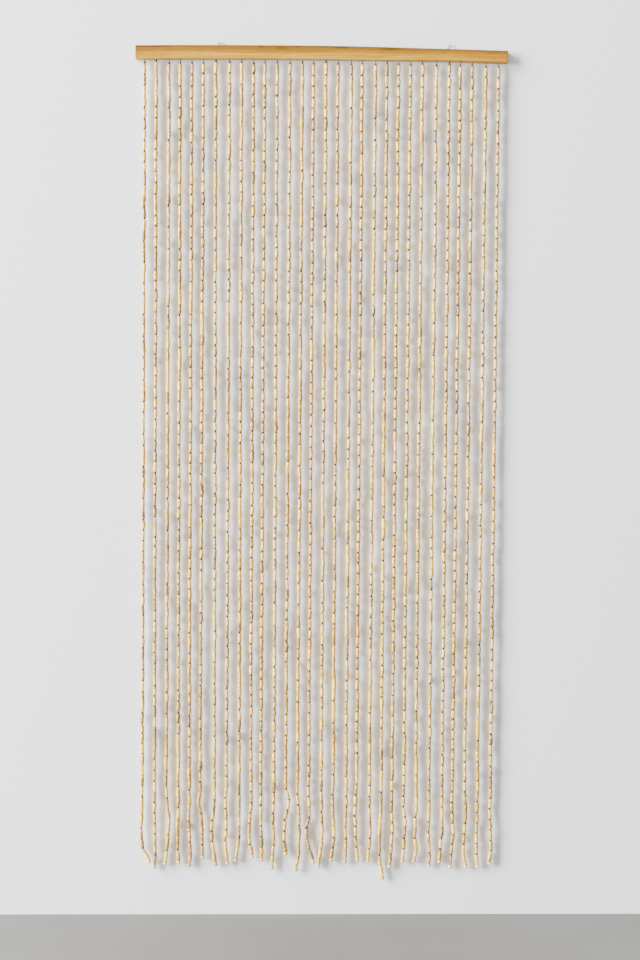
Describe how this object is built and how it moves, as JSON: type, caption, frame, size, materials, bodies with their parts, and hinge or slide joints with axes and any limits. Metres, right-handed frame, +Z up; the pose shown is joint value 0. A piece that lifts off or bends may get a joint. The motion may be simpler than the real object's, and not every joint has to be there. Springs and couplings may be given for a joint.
{
  "type": "bead curtain with its wooden hanging rail",
  "caption": "Doorway curtain of strings of wooden stick beads, each ending in a small ball bead, hung side by side from a wooden rail that hangs on the wall by two ring hangers.",
  "frame": {"origin": "middle of the rail's flat back face, on the plane of the wall that holds it", "axes": "+X along the rail to the right as seen from the front, +Y from the curtain into the wall, so the front faces -Y, +Z up"},
  "size_m": [0.9, 0.018, 2.0498],
  "materials": {
    "rail_wood": "clear varnish over planed pale wood, satin",
    "stick_beads": "tumbled pale hardwood sticks, clear lacquer, cream to tan",
    "ball_beads": "turned pale wood, satin",
    "link_wire": "dark annealed iron wire, dull",
    "hanger_steel": "bright zinc plate"
  },
  "bodies": {
    "root": {"rail": "rail_wood", "hanger_strap_left": "hanger_steel", "hanger_ring_left": "hanger_steel", "hanger_screw_left": "hanger_steel", "hanger_strap_right": "hanger_steel", "hanger_ring_right": "hanger_steel", "hanger_screw_right": "hanger_steel", "string_01": "stick_beads", "string_02": "stick_beads", "string_03": "stick_beads", "string_04": "stick_beads", "string_05": "stick_beads", "string_06": "stick_beads", "string_07": "stick_beads", "string_08": "stick_beads", "string_09": "stick_beads", "string_10": "stick_beads", "string_11": "stick_beads", "string_12": "stick_beads", "string_13": "stick_beads", "string_14": "stick_beads", "string_15": "stick_beads", "string_16": "stick_beads", "string_17": "stick_beads", "string_18": "stick_beads", "string_19": "stick_beads", "string_20": "stick_beads", "string_21": "stick_beads", "string_22": "stick_beads", "string_23": "stick_beads", "string_24": "stick_beads", "string_25": "stick_beads", "string_26": "stick_beads", "string_27": "stick_beads", "string_28": "stick_beads", "string_29": "stick_beads", "string_30": "stick_beads"}
  },
  "joints": []
}
